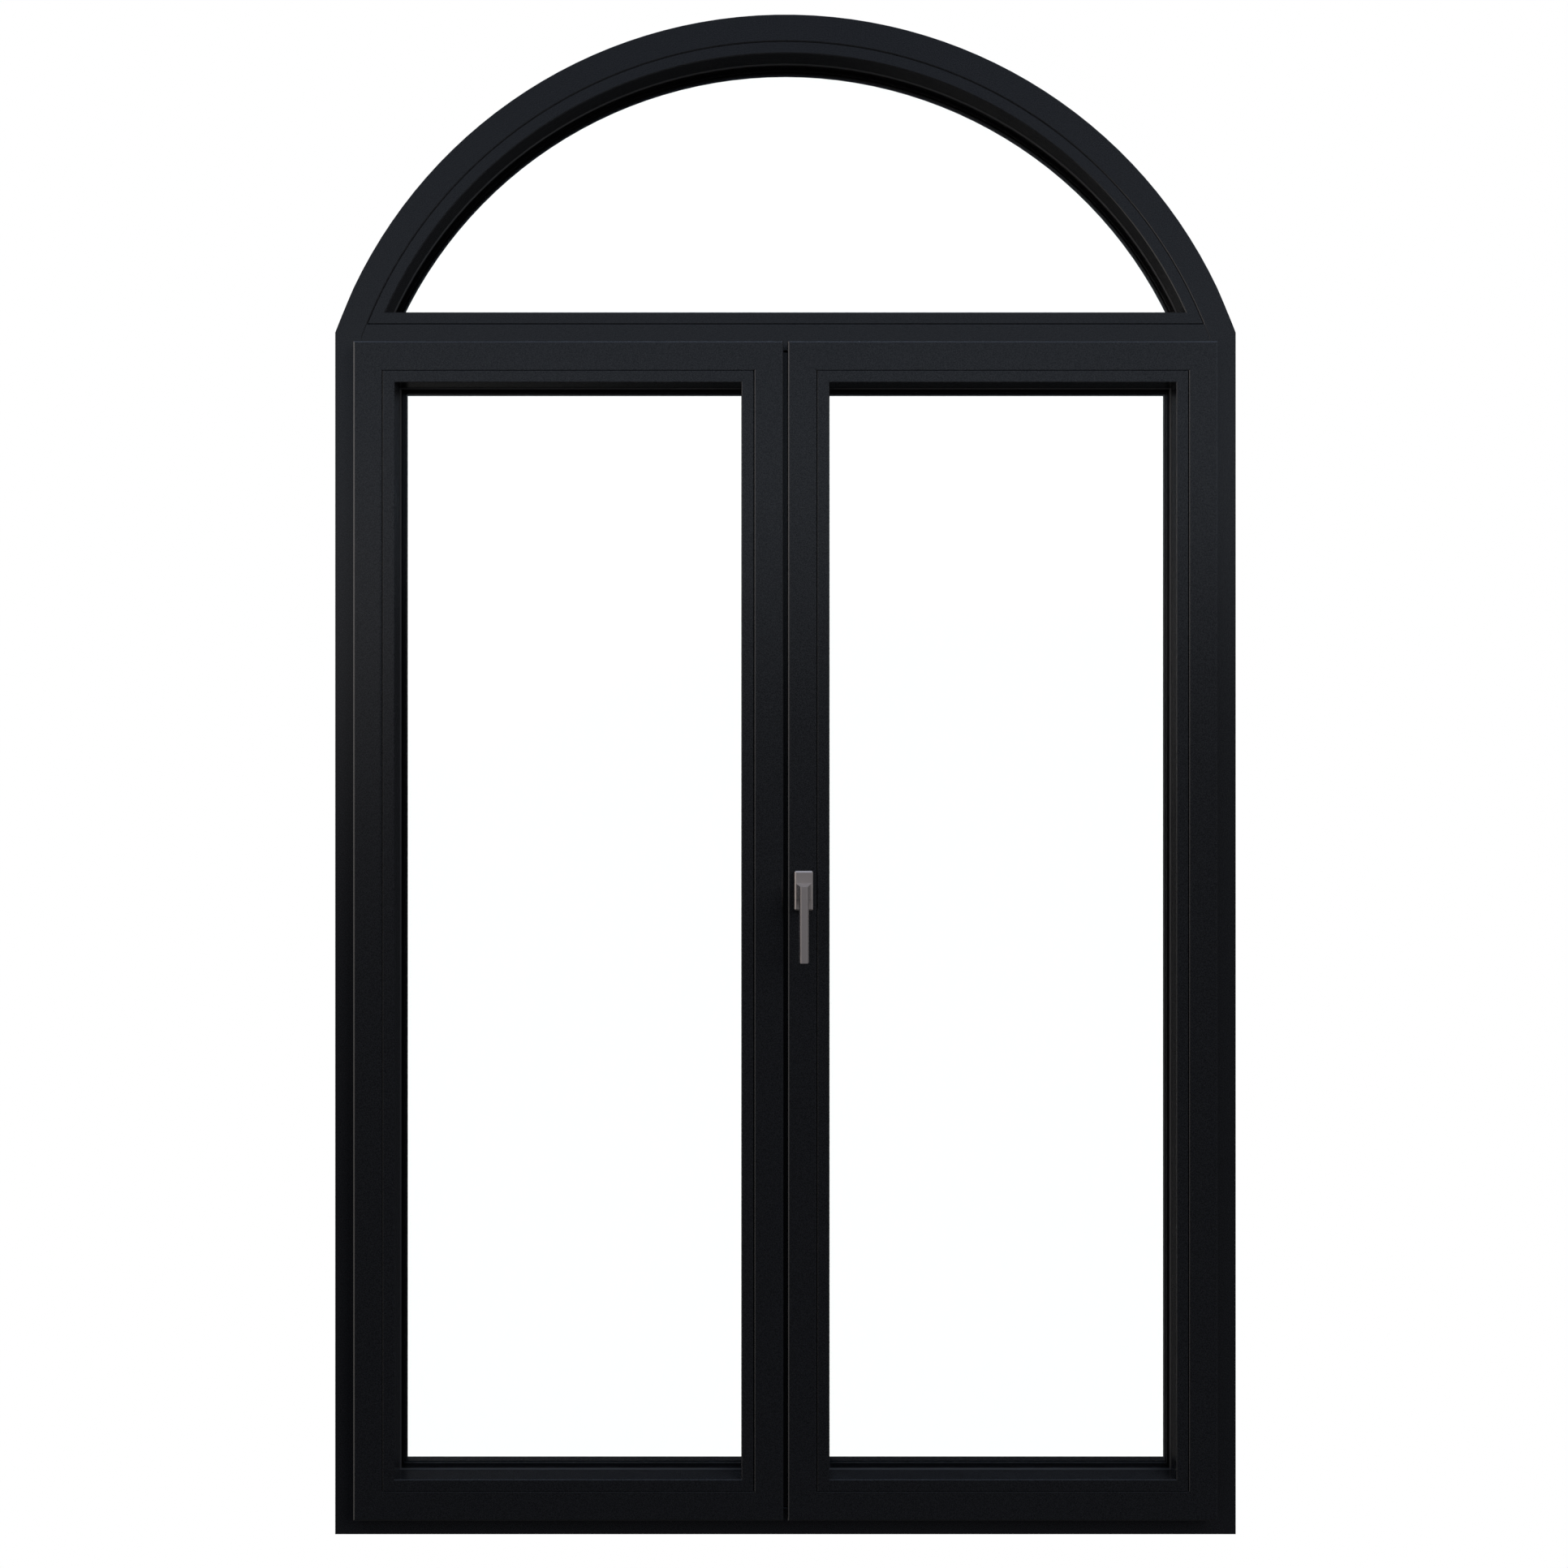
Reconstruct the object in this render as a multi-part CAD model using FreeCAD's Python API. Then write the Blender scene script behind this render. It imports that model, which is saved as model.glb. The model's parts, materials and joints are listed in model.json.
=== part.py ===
# Arched top window: a two-leaf, full-height casement under a fixed arched fanlight.
#
# Millimetres, +Z up, +X to the right as seen from the room, the room on the -Y side.
# The origin is the middle of the sill's underside, halfway through the frame's depth.
# Every member is one outline of (u, y, radius) corners: u is the distance inward from
# the member's outer edge, y the depth, and radius rounds that corner with an exact arc.
# Where a member is bent to the arch, its small edges are bevelled by as much instead.
import FreeCAD, Part
import math
import os

# Driving dimensions of the outer frame
frame_width = 1600.0
frame_height = 2700.0
head_rise = 565.0
frame_depth = 82.0
frame_land = 47.5
frame_edge_radius = 1.0
rebate_edge_radius = 1.5
head_straight_end = 87.0
transom_drop = 33.0
transom_land = 47.5
frame_lip_reach = 24.8
lip_bevel_width = 11.5
lip_bevel_depth = 3.0
fixing_groove_width = 12.0
fixing_groove_depth = 3.0
fixing_groove_spacing = 44.0
drain_slot_length = 30.0
drain_slot_height = 5.0
drain_slot_depth = 8.0
drain_slot_rise = 20.0
drain_slot_spacing = 520.0

# Driving dimensions of the glazing, the same in the leaves and the fanlight
bead_width = 21.5
bead_depth = 35.0
bead_edge_radius = 1.5
bead_back_edge_radius = 0.8
bead_joint = 1.0
bead_joint_depth = 8.0
inner_gasket_thickness = 3.5
inner_gasket_lip = 1.7
outer_gasket_thickness = 4.0
gasket_inset = 4.0
pane_thickness = 4.0
pane_spacing = 16.0
pane_clearance = 5.0
spacer_width = 12.0

# Driving dimensions of the opening leaves
leaf_side_overlap = 7.5
leaf_end_overlap = 9.5
leaf_face_width = 52.0
leaf_projection = 28.0
leaf_edge_radius = 4.5
stile_inner_edge_radius = 4.0
rail_inner_edge_radius = 0.5
flange_reach = 20.0
leaf_lip_reach = 23.2
leaf_lip_thickness = 15.5
leaf_bevel_width = 14.0
meeting_gap = 7.0
room_seal_thickness = 2.5
room_seal_width = 5.0
room_seal_inset = 1.5
weather_seal_thickness = 3.5
weather_seal_width = 10.0
weather_seal_inset = 1.0

# Driving dimensions of the meeting post, which the left leaf carries
post_side_clearance = 12.0
post_end_clearance = 3.0

# Driving dimensions of the handle on the right leaf
handle_height = 1146.0
handle_offset = 28.5
rosette_width = 32.0
rosette_height = 69.0
rosette_thickness = 10.0
rosette_corner_radius = 3.0
rosette_edge_chamfer = 2.5
neck_width = 27.0
neck_rise = 12.8
neck_height = 26.0
neck_slope = 2.7
handle_projection = 46.0
lever_face_width = 12.0
lever_thickness = 14.0
lever_length = 133.7
lever_edge_bevel = 1.5

# Places along Y
frame_front = -frame_depth / 2
frame_rear = frame_depth / 2
leaf_front = frame_front - leaf_projection
glass_thickness = 2 * pane_thickness + pane_spacing
glazing_depth = bead_depth + inner_gasket_thickness + glass_thickness + outer_gasket_thickness
frame_seat = frame_front + glazing_depth
leaf_seat = leaf_front + glazing_depth
leaf_nose = leaf_seat + leaf_lip_thickness
leaf_rear = frame_seat - weather_seal_thickness
flange_rear = frame_front - room_seal_thickness

# Places along X and Z
half_width = frame_width / 2
head_radius = (half_width**2 + head_rise**2) / (2 * head_rise)
head_centre = frame_height - head_radius
shoulder_height = frame_height - head_rise
transom_underside = shoulder_height - transom_drop
transom_top = transom_underside + transom_land
leaf_reveal = frame_land - leaf_side_overlap
leaf_outer_side = half_width - leaf_reveal
leaf_bottom = frame_land - leaf_end_overlap
leaf_top = transom_underside + leaf_end_overlap
mask_depth = 4 * frame_depth


def vector(x, y, z):
    return FreeCAD.Vector(x, y, z)


def outline_face(outline, place, rounded=True):
    """Flat face with the outline's corners rounded or bevelled, put in space by place(u, y)."""
    points = [place(u, y) for u, y, radius in outline]
    radii = [radius for u, y, radius in outline]
    stretches = []
    for index, corner in enumerate(points):
        before = (points[index - 1] - corner).normalize()
        after = (points[(index + 1) % len(points)] - corner).normalize()
        half_angle = before.getAngle(after) / 2
        inward = before + after
        radius = radii[index]
        start = corner + before * (radius / math.tan(half_angle))
        end = corner + after * (radius / math.tan(half_angle))
        middle = corner
        if radius > 0:
            middle = corner + inward.normalize() * (radius / math.sin(half_angle) - radius)
        stretches.append((start, middle, end, radius))
    edges = []
    for index, (start, middle, end, radius) in enumerate(stretches):
        edges.append(Part.LineSegment(stretches[index - 1][2], start).toShape())
        if radius > 0 and rounded:
            edges.append(Part.Arc(start, middle, end).toShape())
        elif radius > 0:
            edges.append(Part.LineSegment(start, end).toShape())
    return Part.Face(Part.Wire(edges))


def as_solid(shape):
    """The shape as one clean solid that faces outward."""
    solid = shape.removeSplitter().Solids[0]
    if solid.Volume < 0:
        solid.reverse()
    return solid


def upright_prism(corners):
    """Prism along Y over a polygon of (x, z) corners, deeper than the whole window."""
    points = [vector(x, -mask_depth, z) for x, z in corners]
    face = Part.Face(Part.makePolygon(points + points[:1]))
    return face.extrude(vector(0, 2 * mask_depth, 0))


def box_between(x_low, x_high, y_low, y_high, z_low, z_high):
    corner = vector(x_low, y_low, z_low)
    return Part.makeBox(x_high - x_low, y_high - y_low, z_high - z_low, corner)


def ring_sides(outline, x_low, x_high, z_low, z_high):
    """Four mitred members that run round a rectangle, with u measured inward from it."""
    reach = max(u for u, y, radius in outline) + 1
    width = x_high - x_low
    height = z_high - z_low

    def left(u, y):
        return vector(x_low + u, y, z_low)

    def right(u, y):
        return vector(x_high - u, y, z_low)

    def bottom(u, y):
        return vector(x_low, y, z_low + u)

    def top(u, y):
        return vector(x_low, y, z_high - u)

    corners = {
        "left": [(x_low, z_low), (x_low, z_high)],
        "right": [(x_high, z_low), (x_high, z_high)],
        "bottom": [(x_low, z_low), (x_high, z_low)],
        "top": [(x_low, z_high), (x_high, z_high)],
    }
    runs = {
        "left": (left, vector(0, 0, height)),
        "right": (right, vector(0, 0, height)),
        "bottom": (bottom, vector(width, 0, 0)),
        "top": (top, vector(width, 0, 0)),
    }
    sides = {}
    for name, (place, run) in runs.items():
        blank = outline_face(outline, place).extrude(run)
        first, last = corners[name]
        inner = []
        for x, z in (last, first):
            inner_x = x + reach if x == x_low else x - reach
            inner_z = z + reach if z == z_low else z - reach
            inner.append((inner_x, inner_z))
        sides[name] = as_solid(blank.common(upright_prism([first, last] + inner)))
    return sides


def ring(outline, x_low, x_high, z_low, z_high):
    """The four members of a rectangle as one closed loop, as a corner-bonded seal is."""
    sides = list(ring_sides(outline, x_low, x_high, z_low, z_high).values())
    return as_solid(sides[0].multiFuse(sides[1:]))


def arch_corner(radius, base):
    """Half the width of the arch of this radius at the height of its base."""
    return math.sqrt(radius**2 - (base - head_centre)**2)


def arched_blank(outline, radius):
    """The outline swept round the head's centre, over the whole upper half circle."""
    def place(u, y):
        return vector(-(radius - u), y, head_centre)

    face = outline_face(outline, place, rounded=False)
    return face.revolve(vector(0, 0, head_centre), vector(0, 1, 0), 180)


def fan_sides(outline, radius, base):
    """An arched member and a straight one below it, mitred where they meet."""
    reach = max(u for u, y, edge_radius in outline)
    low = arch_corner(radius, base)
    high = arch_corner(radius - reach, base + reach)
    slope = (low - high) / reach
    outer = (low + slope * reach, base - reach)
    inner = (high - slope * reach, base + 2 * reach)
    below = [(-outer[0], outer[1]), outer, inner, (-inner[0], inner[1])]
    above_corner = (outer[0] + radius, outer[1])
    sky = head_centre + 2 * radius
    above = [(-inner[0], inner[1]), inner, outer, above_corner, (above_corner[0], sky)]
    above += [(-above_corner[0], sky), (-above_corner[0], outer[1]), (-outer[0], outer[1])]

    def place(u, y):
        return vector(-outer[0], y, base + u)

    face = outline_face(outline, place, rounded=False)
    straight = face.extrude(vector(2 * outer[0], 0, 0))
    arched = arched_blank(outline, radius)
    bottom = as_solid(straight.common(upright_prism(below)))
    return as_solid(arched.common(upright_prism(above))), bottom


def fan_ring(outline, radius, base):
    """The arched and the straight side as one closed loop."""
    arched, bottom = fan_sides(outline, radius, base)
    return as_solid(arched.fuse(bottom))


# Outlines shared by the straight and the arched members

def frame_outline():
    lip = frame_land + frame_lip_reach
    return [
        (0, frame_front, frame_edge_radius),
        (frame_land, frame_front, rebate_edge_radius),
        (frame_land, frame_seat, 0),
        (lip, frame_seat, 0),
        (lip, frame_rear - lip_bevel_depth, frame_edge_radius),
        (lip - lip_bevel_width, frame_rear, frame_edge_radius),
        (0, frame_rear, frame_edge_radius),
    ] + fixing_grooves()


def fixing_grooves():
    """Corners of the two grooves in the side that faces the wall, from outside to inside."""
    corners = []
    for middle in (fixing_groove_spacing / 2, -fixing_groove_spacing / 2):
        rear = middle + fixing_groove_width / 2
        front = middle - fixing_groove_width / 2
        corners.append((0, rear, 0))
        corners.append((fixing_groove_depth, rear, 0))
        corners.append((fixing_groove_depth, front, 0))
        corners.append((0, front, 0))
    return corners


def transom_outline():
    lip = transom_land + frame_lip_reach
    return [
        (0, frame_front, rebate_edge_radius),
        (transom_land, frame_front, rebate_edge_radius),
        (transom_land, frame_seat, 0),
        (lip, frame_seat, 0),
        (lip, frame_rear - lip_bevel_depth, frame_edge_radius),
        (lip - lip_bevel_width, frame_rear, frame_edge_radius),
        (lip_bevel_width - frame_lip_reach, frame_rear, frame_edge_radius),
        (-frame_lip_reach, frame_rear - lip_bevel_depth, frame_edge_radius),
        (-frame_lip_reach, frame_seat, 0),
        (0, frame_seat, 0),
    ]


def leaf_outline(inner_edge_radius):
    sight = leaf_face_width + leaf_lip_reach
    return [
        (0, leaf_front, leaf_edge_radius),
        (leaf_face_width, leaf_front, inner_edge_radius),
        (leaf_face_width, leaf_seat, 0),
        (sight, leaf_seat, 0),
        (sight, leaf_nose, frame_edge_radius),
        (sight - leaf_bevel_width, leaf_rear, frame_edge_radius),
        (flange_reach, leaf_rear, frame_edge_radius),
        (flange_reach, flange_rear, 0),
        (0, flange_rear, frame_edge_radius),
    ]


def bead_outline(front):
    groove_floor = front + bead_joint_depth
    return [
        (bead_joint, front, bead_back_edge_radius),
        (bead_width, front, bead_edge_radius),
        (bead_width, front + bead_depth, 0),
        (0, front + bead_depth, 0),
        (0, groove_floor, 0),
        (bead_joint, groove_floor, 0),
    ]


def inner_gasket_outline(front):
    start = front + bead_depth
    end = start + inner_gasket_thickness
    return [
        (gasket_inset, start, 0),
        (bead_width, start, 0),
        (bead_width + inner_gasket_lip, (start + end) / 2, 0),
        (bead_width + inner_gasket_lip, end, 0),
        (gasket_inset, end, 0),
    ]


def outer_gasket_outline(front):
    end = front + glazing_depth
    start = end - outer_gasket_thickness
    return [
        (gasket_inset, start, 0),
        (bead_width, start, 0),
        (bead_width, end, 0),
        (gasket_inset, end, 0),
    ]


def spacer_outline(front):
    start = front + bead_depth + inner_gasket_thickness + pane_thickness
    end = start + pane_spacing
    return [
        (0, start, 0),
        (spacer_width, start, 0),
        (spacer_width, end, 0),
        (0, end, 0),
    ]


def pane_starts(front):
    """Room-side face of each of the two panes behind a bead with this front."""
    first = front + bead_depth + inner_gasket_thickness
    return [first, first + pane_thickness + pane_spacing]


# Sub-parts of the outer frame

def frame_mitre_slope():
    """Fall of the mitre at the shoulder for each millimetre inward."""
    inner_height = head_centre + math.sqrt(
        (head_radius - frame_land)**2 - (half_width - frame_land)**2)
    return (shoulder_height - inner_height) / frame_land


def frame_sill():
    """Sill with round-ended drain slots in its outside face."""
    sill = ring_sides(frame_outline(), -half_width, half_width, 0, frame_height)["bottom"]
    half_length = drain_slot_length / 2
    half_height = drain_slot_height / 2
    for middle in (-drain_slot_spacing, 0, drain_slot_spacing):
        corners = []
        for x, z in ((-1, -1), (1, -1), (1, 1), (-1, 1)):
            corners.append((x * half_length, z * half_height, 0.98 * half_height))

        def place(x, z, middle=middle):
            return vector(middle + x, frame_rear - drain_slot_depth, drain_slot_rise + z)

        slot = outline_face(corners, place).extrude(vector(0, 2 * drain_slot_depth, 0))
        sill = sill.cut(slot)
    return as_solid(sill)


def frame_jamb_left():
    reach = 2 * frame_land
    corners = [
        (-half_width, 0),
        (-half_width, shoulder_height),
        (-half_width + reach, shoulder_height - reach * frame_mitre_slope()),
        (-half_width + reach, reach),
    ]

    def place(u, y):
        return vector(-half_width + u, y, 0)

    blank = outline_face(frame_outline(), place).extrude(vector(0, 0, frame_height))
    return as_solid(blank.common(upright_prism(corners)))


def mirrored(shape):
    """The same shape on the other side of the window's middle plane."""
    return as_solid(shape.mirror(vector(0, 0, 0), vector(1, 0, 0)))


def frame_head_arched():
    """Arched head, mitred at the shoulders, its outer edge cut straight at each end."""
    reach = 2 * frame_land
    slope = frame_mitre_slope()
    sky = frame_height + reach
    right_side = [
        (half_width - reach, shoulder_height - reach * slope),
        (half_width + reach, shoulder_height + reach * slope),
        (half_width + reach, sky),
    ]
    left_side = [(-x, z) for x, z in reversed(right_side)]
    head = arched_blank(frame_outline(), head_radius)
    head = head.common(upright_prism(right_side + left_side))
    end_angle = math.asin(half_width / head_radius)
    start_angle = end_angle - 2 * math.asin(head_straight_end / (2 * head_radius))
    middle_angle = (start_angle + end_angle) / 2
    chord = []
    for angle in (start_angle, end_angle):
        chord.append((head_radius * math.sin(angle), head_centre + head_radius * math.cos(angle)))
    outward = (reach * math.sin(middle_angle), reach * math.cos(middle_angle))
    offcut = chord + [(x + outward[0], z + outward[1]) for x, z in reversed(chord)]
    for side in (-1, 1):
        head = head.cut(upright_prism([(side * x, z) for x, z in offcut]))
    return as_solid(head)


def inside_face(offset, floor, y):
    """Face over the frame's opening at this offset from its outer edge, above a floor."""
    side = half_width - offset
    radius = head_radius - offset
    corner = arch_height(radius, side)
    points = [vector(-side, y, floor), vector(-side, y, corner)]
    points += [vector(side, y, corner), vector(side, y, floor)]
    arch = Part.Arc(points[1], vector(0, y, head_centre + radius), points[2])
    edges = [
        Part.LineSegment(points[0], points[1]).toShape(),
        arch.toShape(),
        Part.LineSegment(points[2], points[3]).toShape(),
        Part.LineSegment(points[3], points[0]).toShape(),
    ]
    return Part.Face(Part.Wire(edges))


def arch_height(radius, side):
    """Height at which the arch of this radius stands this far from the middle."""
    return head_centre + math.sqrt(radius**2 - side**2)


def frame_transom(around):
    """Transom, its web butted to the frame's land and its lips coped over the frame's lips."""
    def place(u, y):
        return vector(-half_width + frame_edge_radius, y, transom_underside + u)

    length = 2 * (half_width - frame_edge_radius)
    blank = outline_face(transom_outline(), place).extrude(vector(length, 0, 0))
    floor = transom_underside - 2 * frame_lip_reach
    web_space = inside_face(frame_land, floor, frame_front).extrude(vector(0, glazing_depth, 0))
    web = blank.common(web_space)
    rear_space = inside_face(frame_land - frame_lip_reach, floor, frame_seat)
    lips = blank.common(rear_space.extrude(vector(0, frame_depth - glazing_depth, 0)))
    for member in around:
        lips = lips.cut(member)
    lips = max(lips.Solids, key=lambda solid: solid.Volume)
    return as_solid(web.fuse(lips))


# Sub-parts of the fixed fanlight

def fanlight_pane(start):
    radius = head_radius - frame_land - pane_clearance
    base = transom_top + pane_clearance
    side = arch_corner(radius, base)
    left = vector(-side, start, base)
    right = vector(side, start, base)
    arch = Part.Arc(left, vector(0, start, head_centre + radius), right).toShape()
    face = Part.Face(Part.Wire([arch, Part.LineSegment(right, left).toShape()]))
    return face.extrude(vector(0, pane_thickness, 0))


def fanlight():
    radius = head_radius - frame_land
    arched_bead, bottom_bead = fan_sides(bead_outline(frame_front), radius, transom_top)
    panes = [as_solid(fanlight_pane(start)) for start in pane_starts(frame_front)]
    edge = pane_clearance
    spacer = fan_ring(spacer_outline(frame_front), radius - edge, transom_top + edge)
    return {
        "fanlight_bead_arched": arched_bead,
        "fanlight_bead_bottom": bottom_bead,
        "fanlight_glass": Part.makeCompound(panes),
        "fanlight_glass_spacer": spacer,
        "fanlight_gasket_inner": fan_ring(inner_gasket_outline(frame_front), radius, transom_top),
        "fanlight_gasket_outer": fan_ring(outer_gasket_outline(frame_front), radius, transom_top),
    }


# Sub-parts of one opening leaf, built on the left and mirrored for the right

def leaf_edges():
    """Left, right, bottom and top edge of the left leaf, as seen from the room."""
    return -leaf_outer_side, -meeting_gap / 2, leaf_bottom, leaf_top


def inset(edges, distance):
    x_low, x_high, z_low, z_high = edges
    return x_low + distance, x_high - distance, z_low + distance, z_high - distance


def seal_outline(start, thickness, inner_offset, width):
    return [
        (inner_offset, start, 0),
        (inner_offset + width, start, 0),
        (inner_offset + width, start + thickness, 0),
        (inner_offset, start + thickness, 0),
    ]


def leaf():
    edges = leaf_edges()
    rebate = inset(edges, leaf_face_width)
    stiles = ring_sides(leaf_outline(stile_inner_edge_radius), *edges)
    rails = ring_sides(leaf_outline(rail_inner_edge_radius), *edges)
    beads = ring_sides(bead_outline(leaf_front), *rebate)
    x_low, x_high, z_low, z_high = inset(rebate, pane_clearance)
    panes = []
    for start in pane_starts(leaf_front):
        panes.append(box_between(x_low, x_high, start, start + pane_thickness, z_low, z_high))
    room_seal = seal_outline(flange_rear, room_seal_thickness, room_seal_inset, room_seal_width)
    weather_seal_start = flange_reach + weather_seal_inset
    weather_seal = seal_outline(
        leaf_rear, weather_seal_thickness, weather_seal_start, weather_seal_width)
    return {
        "hinge_stile": stiles["left"],
        "meeting_stile": stiles["right"],
        "bottom_rail": rails["bottom"],
        "top_rail": rails["top"],
        "bead_hinge_side": beads["left"],
        "bead_meeting_side": beads["right"],
        "bead_bottom": beads["bottom"],
        "bead_top": beads["top"],
        "glass": Part.makeCompound(panes),
        "glass_spacer": ring(spacer_outline(leaf_front), x_low, x_high, z_low, z_high),
        "gasket_inner": ring(inner_gasket_outline(leaf_front), *rebate),
        "gasket_outer": ring(outer_gasket_outline(leaf_front), *rebate),
        "room_seal": ring(room_seal, *edges),
        "weather_seal": ring(weather_seal, *edges),
    }


def meeting_post():
    """Post behind the meeting stiles: a web between the leaves and a cover outside them."""
    body_side = meeting_gap / 2 + flange_reach
    leaf_body_reveal = leaf_reveal + flange_reach
    cover_side = body_side + frame_land + frame_lip_reach - leaf_body_reveal
    web = [
        (-body_side, frame_front, 0),
        (body_side - post_side_clearance, frame_front, 0),
        (body_side - post_side_clearance, frame_seat, 0),
        (-body_side, frame_seat, 0),
    ]
    cover = [
        (-cover_side, frame_seat, 0),
        (cover_side, frame_seat, 0),
        (cover_side, frame_rear - lip_bevel_depth, frame_edge_radius),
        (cover_side - lip_bevel_width, frame_rear, frame_edge_radius),
        (lip_bevel_width - cover_side, frame_rear, frame_edge_radius),
        (-cover_side, frame_rear - lip_bevel_depth, frame_edge_radius),
    ]
    spans = [
        (web, frame_land + post_end_clearance, transom_underside - post_end_clearance),
        (cover, frame_land + frame_lip_reach + post_end_clearance,
         transom_underside - frame_lip_reach - post_end_clearance),
    ]
    pieces = []
    for outline, low, high in spans:
        face = outline_face(outline, lambda x, y, floor=low: vector(x, y, floor))
        pieces.append(face.extrude(vector(0, 0, high - low)))
    return as_solid(pieces[0].fuse(pieces[1]))


# Sub-parts of the handle

def handle_rosette():
    middle = meeting_gap / 2 + handle_offset
    corners = []
    for x, z in ((-1, -1), (1, -1), (1, 1), (-1, 1)):
        corners.append((x * rosette_width / 2, z * rosette_height / 2, rosette_corner_radius))
    face = outline_face(corners, lambda x, z: vector(middle + x, leaf_front, handle_height + z))
    plate = as_solid(face.extrude(vector(0, -rosette_thickness, 0)))
    front = leaf_front - rosette_thickness
    front_edges = []
    for edge in plate.Edges:
        if all(abs(vertex.Y - front) < 1e-6 for vertex in edge.Vertexes):
            front_edges.append(edge)
    return as_solid(plate.makeChamfer(rosette_edge_chamfer, front_edges))


def handle_lever():
    """Neck and lever in one: a bar that tapers to the front, cut free behind the lever."""
    middle = meeting_gap / 2 + handle_offset
    base = leaf_front - rosette_thickness
    tip = base - handle_projection
    lever_back = tip + lever_thickness
    top = handle_height + neck_rise
    bottom = top - lever_length
    neck_bottom = top - neck_height
    slope = neck_slope / handle_projection
    section = [
        (-neck_width / 2, base, 0),
        (neck_width / 2, base, 0),
        (lever_face_width / 2, tip, lever_edge_bevel),
        (-lever_face_width / 2, tip, lever_edge_bevel),
    ]
    face = outline_face(section, lambda x, y: vector(middle + x, y, bottom))
    bar = face.extrude(vector(0, 0, lever_length))
    finger_gap = [
        (base, neck_bottom),
        (lever_back, neck_bottom - slope * (base - lever_back)),
        (lever_back, bottom),
        (base, bottom),
    ]
    above = [(base, top), (tip, top - neck_slope), (tip, top)]
    for corners in (finger_gap, above):
        points = [vector(middle - neck_width, y, z) for y, z in corners]
        offcut = Part.Face(Part.makePolygon(points + points[:1]))
        bar = bar.cut(offcut.extrude(vector(2 * neck_width, 0, 0)))
    return as_solid(bar)


def all_nodes():
    jamb_left = frame_jamb_left()
    jamb_right = mirrored(jamb_left)
    head = frame_head_arched()
    nodes = {
        "frame_sill": frame_sill(),
        "frame_jamb_left": jamb_left,
        "frame_jamb_right": jamb_right,
        "frame_head_arched": head,
        "frame_transom": frame_transom([jamb_left, jamb_right, head]),
    }
    nodes.update(fanlight())
    for name, shape in leaf().items():
        nodes["left_leaf_" + name] = shape
        pieces = [mirrored(solid) for solid in shape.Solids]
        nodes["right_leaf_" + name] = pieces[0] if len(pieces) == 1 else Part.makeCompound(pieces)
    nodes["meeting_post"] = meeting_post()
    nodes["handle_rosette"] = handle_rosette()
    nodes["handle_lever"] = handle_lever()
    return nodes


os.makedirs("parts", exist_ok=True)
for node_name, node_shape in all_nodes().items():
    node_shape.exportStep("parts/" + node_name + ".step")
    print(node_name, len(node_shape.Solids), round(node_shape.Volume / 1000, 1), node_shape.isValid())
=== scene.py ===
# Looks of the arched top window: camera, soft studio light and the finish of every surface.
import json
import math

import bpy
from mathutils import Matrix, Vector


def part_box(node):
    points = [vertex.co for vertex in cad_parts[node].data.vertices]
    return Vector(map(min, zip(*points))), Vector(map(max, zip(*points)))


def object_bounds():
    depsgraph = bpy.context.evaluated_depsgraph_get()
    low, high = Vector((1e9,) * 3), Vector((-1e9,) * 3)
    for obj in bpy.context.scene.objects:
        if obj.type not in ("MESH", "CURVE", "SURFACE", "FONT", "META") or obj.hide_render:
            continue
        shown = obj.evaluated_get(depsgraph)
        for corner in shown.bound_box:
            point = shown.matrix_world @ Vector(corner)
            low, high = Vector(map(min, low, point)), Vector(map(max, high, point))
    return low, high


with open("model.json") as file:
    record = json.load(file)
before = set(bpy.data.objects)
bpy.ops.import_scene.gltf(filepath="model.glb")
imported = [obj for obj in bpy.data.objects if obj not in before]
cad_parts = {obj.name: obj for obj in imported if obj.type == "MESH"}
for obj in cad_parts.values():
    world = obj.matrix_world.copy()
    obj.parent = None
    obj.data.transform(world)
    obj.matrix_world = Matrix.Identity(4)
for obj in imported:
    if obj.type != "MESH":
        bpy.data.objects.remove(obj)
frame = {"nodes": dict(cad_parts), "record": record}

cad_low, cad_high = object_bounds()

# Camera: straight in front of the window, level, a little left of its middle. Its distance is from
# the front of the outer frame. Places are in metres, the lens and the sensor in millimetres.
CAMERA_X = -0.00255
CAMERA_HEIGHT = 1.3328
CAMERA_DISTANCE = 2.388
CAMERA_LENS = 30.87
CAMERA_SENSOR = 36.0
LEVEL_VIEW = math.radians(90)

FRAME_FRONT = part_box("frame_jamb_left")[0].y

# Light by direction. A height, a side and a depth are how far a direction one metre long goes up,
# to the right and out past the window. A turn is in degrees to the left of straight into the room.
# Two limits are where a change begins and ends. Four are where a light begins, is full, begins to
# end and is gone.
BACKDROP_LIGHT = 1.0
THROUGH_GLASS_LIGHT = 1.2

FLOOR_LIGHT = (0.04, 0.04, 0.04, 1)
GROUND_LIGHT = (0.020, 0.020, 0.023, 1)
GROUND_HEIGHTS = (-0.62, -0.54)

# The room's lower edge lies lower to the left, by the tilt times the way to the left
ROOM_LIGHT = (0.225, 0.265, 0.32, 1)
ROOM_HEIGHTS = (0.10, 0.20)
ROOM_TILT = 0.40
LEFT_ROOM_LIGHT = (0.36, 0.345, 0.35, 1)
LEFT_ROOM_SIDES = (-0.26, -0.10)
LEFT_ROOM_HEIGHTS = (0.10, 0.24)
HIGH_ROOM_LIGHT = (0.105, 0.13, 0.185, 1)
HIGH_ROOM_HEIGHTS = (0.18, 0.55)

SKY_LIGHT = (0.55, 0.66, 0.88, 1)
SKY_HEIGHTS = (0.55, 0.95)

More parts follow.
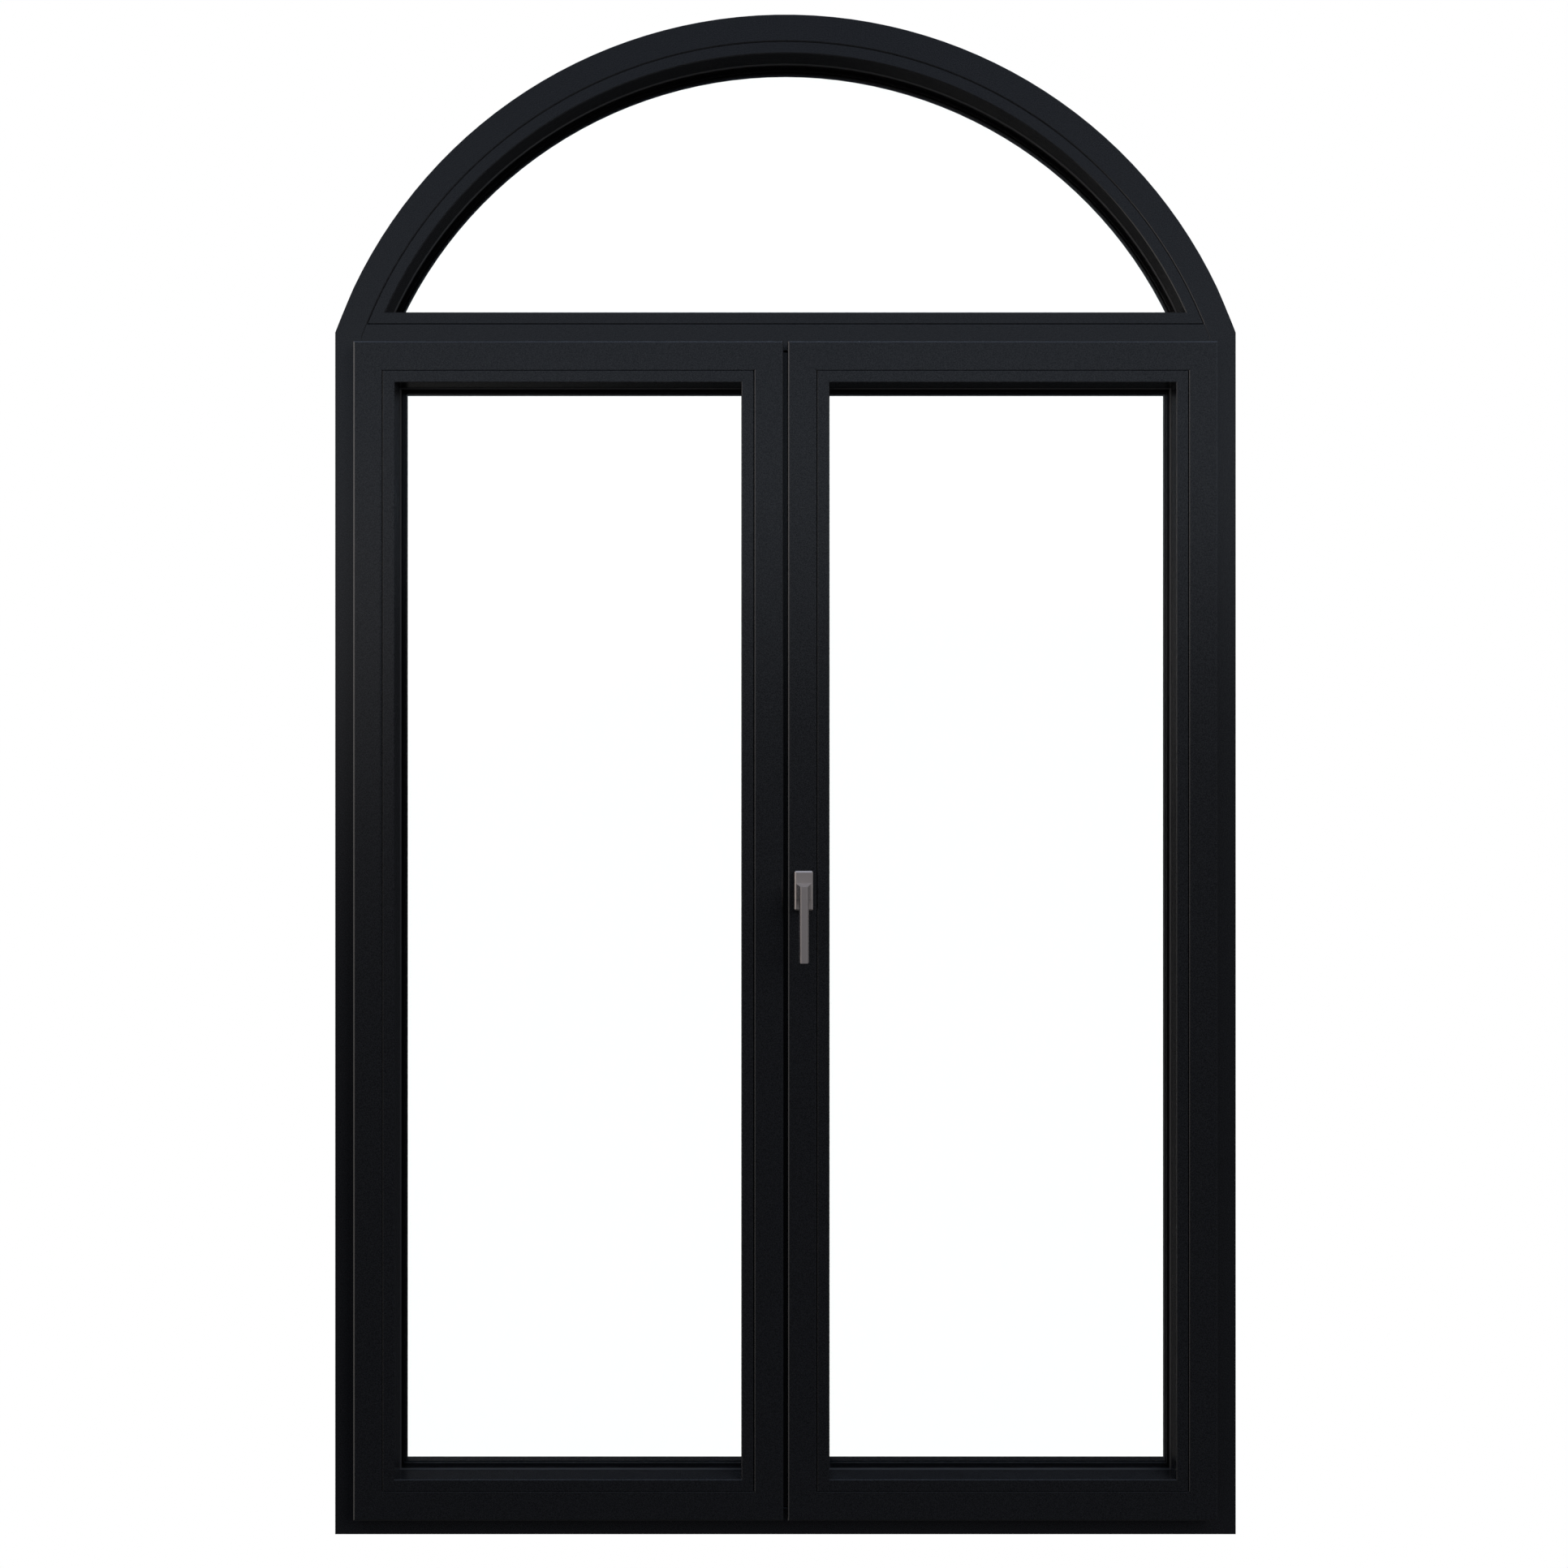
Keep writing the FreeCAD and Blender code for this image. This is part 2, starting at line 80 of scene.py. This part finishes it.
BEHIND_LEFT_LIGHT = (0.052, 0.050, 0.049, 1)
BEHIND_RIGHT_LIGHT = (0.011, 0.0115, 0.013, 1)
BEHIND_SIDES = (-0.28, -0.02)
BEHIND_DEPTHS = (0.2, 0.8)

# The band has its heights at one turn, and lies lower by the tilt for each degree further left
WALL_LIGHT = (1.10, 1.03, 0.97, 1)
WALL_TURNS = (36, 50, 80, 125)
WALL_HEIGHTS = (-0.55, -0.42, 0.5, 0.8)
BAND_LIGHT = (2.10, 1.98, 1.92, 1)
BAND_HEIGHTS = (-0.03, 0.13, 0.30, 0.45)
BAND_TURN = 75
BAND_TILT = 0.0038

HALF_A_BOUNCE = 0.5

# Soft lights: a strip in front of the window's upper part, a large one far off on the right, and
# one outside for the rear. Places, aims and sizes are in metres, powers in watts.
FILL_COLOUR = (0.96, 0.98, 1.0)
FRONT_FILL = {"place": (0.0, -0.85, 2.0), "aim": (0.0, 0.0, 2.0), "size": (4.0, 0.4), "power": 8.6}
RIGHT_FILL = {"place": (7.0, -5.8, 5.2), "aim": (0.0, 0.0, 1.0), "size": (7.0, 7.0), "power": 480.0}
BACK_FILL = {"place": (-2.5, 4.0, 3.0), "aim": (0.0, 0.0, 1.3), "size": (4.0, 4.0), "power": 400.0}

FLOOR_REACH = 30.0
FLOOR_DROP = 0.001

# Finishes: the two tones that a noise mixes, and the limits of the roughness. A scale is in cells
# of noise per metre, and the grain's depth in metres.
NOISE_DETAIL = 2.0
NOISE_ROUGHNESS = 0.6

SANDED_TONES = ((0.0066, 0.0068, 0.0075, 1), (0.0205, 0.0208, 0.0225, 1))
SANDED_ROUGHNESS = (0.20, 0.28)
MOTTLE_SCALE = 880
MOTTLE_LIMITS = (0.36, 0.64)
GRAIN_SCALE = 640
GRAIN_DISTORTION = 0.8
GRAIN_STRENGTH = 0.13
GRAIN_DEPTH = 0.0002

RUBBER_TONES = ((0.018, 0.018, 0.019, 1), (0.032, 0.032, 0.033, 1))
RUBBER_ROUGHNESS = (0.45, 0.65)
RUBBER_SCALE = 160

SPACER_TONES = ((0.004, 0.004, 0.004, 1), (0.009, 0.009, 0.009, 1))
SPACER_ROUGHNESS = 0.5
SPACER_SCALE = 300

GLASS_TONES = ((0.985, 0.995, 0.99, 1), (0.99, 1.0, 0.995, 1))
GLASS_SCALE = 3.0
GLASS_IOR = 1.5

METAL_TONES = ((0.46, 0.405, 0.38, 1), (0.53, 0.47, 0.445, 1))
METAL_ROUGHNESS = (0.18, 0.26)
METAL_SCALE = 2500
METAL_SHARE = 0.5


def make_camera():
    data = bpy.data.cameras.new("camera")
    data.lens = CAMERA_LENS
    data.sensor_width = CAMERA_SENSOR
    camera = bpy.data.objects.new("camera", data)
    camera.location = (CAMERA_X, FRAME_FRONT - CAMERA_DISTANCE, CAMERA_HEIGHT)
    camera.rotation_euler = (LEVEL_VIEW, 0, 0)
    bpy.context.scene.collection.objects.link(camera)
    bpy.context.scene.camera = camera


class Tree:
    """Short calls for adding and joining shader nodes."""

    # The Mix node has several sockets of one name, so those for colours are taken by number
    MIX_SHARE = 0
    MIX_FIRST = 6
    MIX_SECOND = 7
    MIX_RESULT = 2

    def __init__(self, tree):
        self.tree = tree
        self.tree.nodes.clear()

    def add(self, kind, inputs=None, **settings):
        node = self.tree.nodes.new(kind)
        for name, value in settings.items():
            setattr(node, name, value)
        for name, value in (inputs or {}).items():
            self.put(node.inputs[name], value)
        return node

    def put(self, socket, value):
        """Link a socket to another one, or set it to a number or colour."""
        if isinstance(value, bpy.types.NodeSocket):
            self.tree.links.new(value, socket)
        else:
            socket.default_value = value

    def math(self, operation, first, second=0.0, third=0.0):
        node = self.add("ShaderNodeMath", operation=operation)
        for socket, value in zip(node.inputs, (first, second, third)):
            self.put(socket, value)
        return node.outputs[0]

    def ramp(self, value, low, high):
        """0 below low, 1 above high and a smooth step between them."""
        limits = {"Value": value, "From Min": low, "From Max": high}
        return self.add("ShaderNodeMapRange", limits, interpolation_type="SMOOTHSTEP").outputs[0]

    def fall(self, value, low, high):
        """1 below low, 0 above high and a smooth step between them."""
        return self.math("SUBTRACT", 1.0, self.ramp(value, low, high))

    def band(self, value, start, full, end, gone):
        """1 between full and end, 0 outside start and gone, with smooth steps."""
        return self.math("MULTIPLY", self.ramp(value, start, full), self.fall(value, end, gone))

    def spread(self, value, low, high):
        """A value between 0 and 1 spread evenly from low to high."""
        limits = {"Value": value, "To Min": low, "To Max": high}
        return self.add("ShaderNodeMapRange", limits).outputs[0]

    def mix(self, share, first, second):
        node = self.add("ShaderNodeMix", data_type="RGBA")
        self.put(node.inputs[self.MIX_SHARE], share)
        self.put(node.inputs[self.MIX_FIRST], first)
        self.put(node.inputs[self.MIX_SECOND], second)
        return node.outputs[self.MIX_RESULT]


def white(strength):
    return (strength, strength, strength, 1)


def surrounding_light(tree, side, depth, height):
    """A dark ground, a little lighter straight below, a room that dims high up and is brightest
    low on the left, sky overhead, and dim light from behind the window."""
    ground = tree.mix(tree.ramp(height, *GROUND_HEIGHTS), FLOOR_LIGHT, GROUND_LIGHT)
    left_part = tree.fall(side, *LEFT_ROOM_SIDES)
    low_left = tree.math("MULTIPLY", left_part, tree.fall(height, *LEFT_ROOM_HEIGHTS))
    room = tree.mix(low_left, ROOM_LIGHT, LEFT_ROOM_LIGHT)
    room = tree.mix(tree.ramp(height, *HIGH_ROOM_HEIGHTS), room, HIGH_ROOM_LIGHT)
    leftward = tree.math("MINIMUM", side, 0.0)
    lifted = tree.math("MULTIPLY_ADD", leftward, -ROOM_TILT, height)
    light = tree.mix(tree.ramp(lifted, *ROOM_HEIGHTS), ground, room)
    light = tree.mix(tree.ramp(height, *SKY_HEIGHTS), light, SKY_LIGHT)
    behind = tree.mix(tree.ramp(side, *BEHIND_SIDES), BEHIND_LEFT_LIGHT, BEHIND_RIGHT_LIGHT)
    return tree.mix(tree.ramp(depth, *BEHIND_DEPTHS), light, behind)


def wall_light(tree, side, depth, height):
    """A bright wall on the left with a brighter band, and its share of the light there."""
    left = tree.math("MULTIPLY", side, -1.0)
    inward = tree.math("MULTIPLY", depth, -1.0)
    turn = tree.math("DEGREES", tree.math("ARCTAN2", left, inward))
    further_left = tree.math("SUBTRACT", turn, BAND_TURN)
    tilted = tree.math("MULTIPLY_ADD", further_left, BAND_TILT, height)
    wall = tree.mix(tree.band(tilted, *BAND_HEIGHTS), WALL_LIGHT, BAND_LIGHT)
    share = tree.math("MULTIPLY", tree.band(turn, *WALL_TURNS), tree.band(height, *WALL_HEIGHTS))
    return wall, share


def seen_through_glass(tree, rays):
    """1 for a ray that has gone through glass and met nothing else, and otherwise 0."""
    bounces = tree.math("ADD", rays["Diffuse Depth"], rays["Glossy Depth"])
    straight = tree.math("LESS_THAN", bounces, HALF_A_BOUNCE)
    return tree.math("MULTIPLY", rays["Is Transmission Ray"], straight)


def make_world():
    """The surrounding light, the wall for reflections alone, and a plain white backdrop that only
    the camera sees, straight or through glass."""
    world = bpy.data.worlds.new("studio")
    bpy.context.scene.world = world
    world.use_nodes = True
    tree = Tree(world.node_tree)
    direction = tree.add("ShaderNodeTexCoord").outputs["Generated"]
    split = tree.add("ShaderNodeSeparateXYZ", {"Vector": direction})
    side, depth, height = split.outputs["X"], split.outputs["Y"], split.outputs["Z"]
    rays = tree.add("ShaderNodeLightPath").outputs
    light = surrounding_light(tree, side, depth, height)
    wall, share = wall_light(tree, side, depth, height)
    reflected = tree.math("MULTIPLY", share, rays["Is Glossy Ray"])
    light = tree.mix(reflected, light, wall)
    light = tree.mix(seen_through_glass(tree, rays), light, white(THROUGH_GLASS_LIGHT))
    light = tree.mix(rays["Is Camera Ray"], light, white(BACKDROP_LIGHT))
    background = tree.add("ShaderNodeBackground", {"Color": light})
    output = tree.add("ShaderNodeOutputWorld")
    tree.put(output.inputs["Surface"], background.outputs[0])


def make_fill(place, aim, size, power):
    """Soft light for the matt part of every finish, which shows no reflection of it."""
    data = bpy.data.lights.new("fill", "AREA")
    data.shape = "RECTANGLE"
    data.size, data.size_y = size
    data.energy = power
    data.color = FILL_COLOUR
    fill = bpy.data.objects.new("fill", data)
    fill.location = place
    fill.rotation_euler = (Vector(aim) - Vector(place)).to_track_quat("-Z", "Y").to_euler()
    fill.visible_glossy = False
    fill.visible_transmission = False
    fill.visible_camera = False
    bpy.context.scene.collection.objects.link(fill)


def make_floor():
    """Pale floor just under the window, as bright as the backdrop, that only the camera sees."""
    reach = FLOOR_REACH
    corners = [(-reach, -reach, 0), (reach, -reach, 0), (reach, reach, 0), (-reach, reach, 0)]
    mesh = bpy.data.meshes.new("floor")
    mesh.from_pydata(corners, [], [(0, 1, 2, 3)])
    floor = bpy.data.objects.new("floor", mesh)
    floor.location.z = cad_low.z - FLOOR_DROP
    bpy.context.scene.collection.objects.link(floor)
    material = bpy.data.materials.new("floor")
    material.use_nodes = True
    tree = Tree(material.node_tree)
    glow = tree.add("ShaderNodeEmission", {"Color": white(1), "Strength": BACKDROP_LIGHT})
    output = tree.add("ShaderNodeOutputMaterial")
    tree.put(output.inputs["Surface"], glow.outputs[0])
    mesh.materials.append(material)
    floor.visible_glossy = False
    floor.visible_transmission = False
    floor.visible_diffuse = False
    floor.visible_shadow = False


def new_material(name):
    """A material with its node tree and its one shader."""
    material = bpy.data.materials.new(name)
    material.use_nodes = True
    tree = Tree(material.node_tree)
    shader = tree.add("ShaderNodeBsdfPrincipled")
    output = tree.add("ShaderNodeOutputMaterial")
    tree.put(output.inputs["Surface"], shader.outputs[0])
    return material, tree, shader


def noise(tree, scale, distortion=0.0):
    """Noise between 0 and 1 that stays fixed to the object."""
    place = tree.add("ShaderNodeTexCoord").outputs["Object"]
    node = tree.add("ShaderNodeTexNoise", {
        "Vector": place, "Scale": scale, "Detail": NOISE_DETAIL, "Roughness": NOISE_ROUGHNESS,
        "Distortion": distortion})
    return node.outputs["Fac"]


def sanded_finish():
    """Matt anthracite film: a fine mottle in its tone, and a slightly coarser sand grain in its
    roughness and its surface."""
    material, tree, shader = new_material("sanded_anthracite")
    mottle = tree.ramp(noise(tree, MOTTLE_SCALE), *MOTTLE_LIMITS)
    tree.put(shader.inputs["Base Color"], tree.mix(mottle, *SANDED_TONES))
    grain = noise(tree, GRAIN_SCALE, GRAIN_DISTORTION)
    tree.put(shader.inputs["Roughness"], tree.spread(grain, *SANDED_ROUGHNESS))
    bump = tree.add("ShaderNodeBump", {
        "Height": grain, "Strength": GRAIN_STRENGTH, "Distance": GRAIN_DEPTH})
    tree.put(shader.inputs["Normal"], bump.outputs[0])
    return material


def rubber_finish():
    material, tree, shader = new_material("black_rubber")
    tone = noise(tree, RUBBER_SCALE)
    tree.put(shader.inputs["Base Color"], tree.mix(tone, *RUBBER_TONES))
    tree.put(shader.inputs["Roughness"], tree.spread(tone, *RUBBER_ROUGHNESS))
    return material


def spacer_finish():
    material, tree, shader = new_material("spacer_black")
    tone = noise(tree, SPACER_SCALE)
    tree.put(shader.inputs["Base Color"], tree.mix(tone, *SPACER_TONES))
    shader.inputs["Roughness"].default_value = SPACER_ROUGHNESS
    return material


def glass_finish():
    """Clear smooth glass, very slightly green, with a faint wide change in its tone."""
    material, tree, shader = new_material("clear_glass")
    tone = noise(tree, GLASS_SCALE)
    tree.put(shader.inputs["Base Color"], tree.mix(tone, *GLASS_TONES))
    shader.inputs["Roughness"].default_value = 0.0
    shader.inputs["Transmission Weight"].default_value = 1.0
    shader.inputs["IOR"].default_value = GLASS_IOR
    return material


def handle_finish():
    """Satin metal with a very fine grain in its tone and its roughness."""
    material, tree, shader = new_material("satin_metal")
    grain = noise(tree, METAL_SCALE)
    tree.put(shader.inputs["Base Color"], tree.mix(grain, *METAL_TONES))
    tree.put(shader.inputs["Roughness"], tree.spread(grain, *METAL_ROUGHNESS))
    shader.inputs["Metallic"].default_value = METAL_SHARE
    return material


def dress_nodes():
    """Give each node the finish that belongs to its material slot in the record."""
    sanded = sanded_finish()
    finishes = {
        "frame_profile": sanded,
        "leaf_profile": sanded,
        "bead_profile": sanded,
        "rubber_seal": rubber_finish(),
        "glass_spacer": spacer_finish(),
        "glass": glass_finish(),
        "handle_metal": handle_finish(),
    }
    for part in frame["record"]["subparts"]:
        node = frame["nodes"][part["node"]]
        node.data.materials.clear()
        node.data.materials.append(finishes[part["material_slot"]])


make_camera()
make_world()
for fill_values in (FRONT_FILL, RIGHT_FILL, BACK_FILL):
    make_fill(**fill_values)
make_floor()
dress_nodes()
bpy.context.scene.view_settings.view_transform = "Standard"
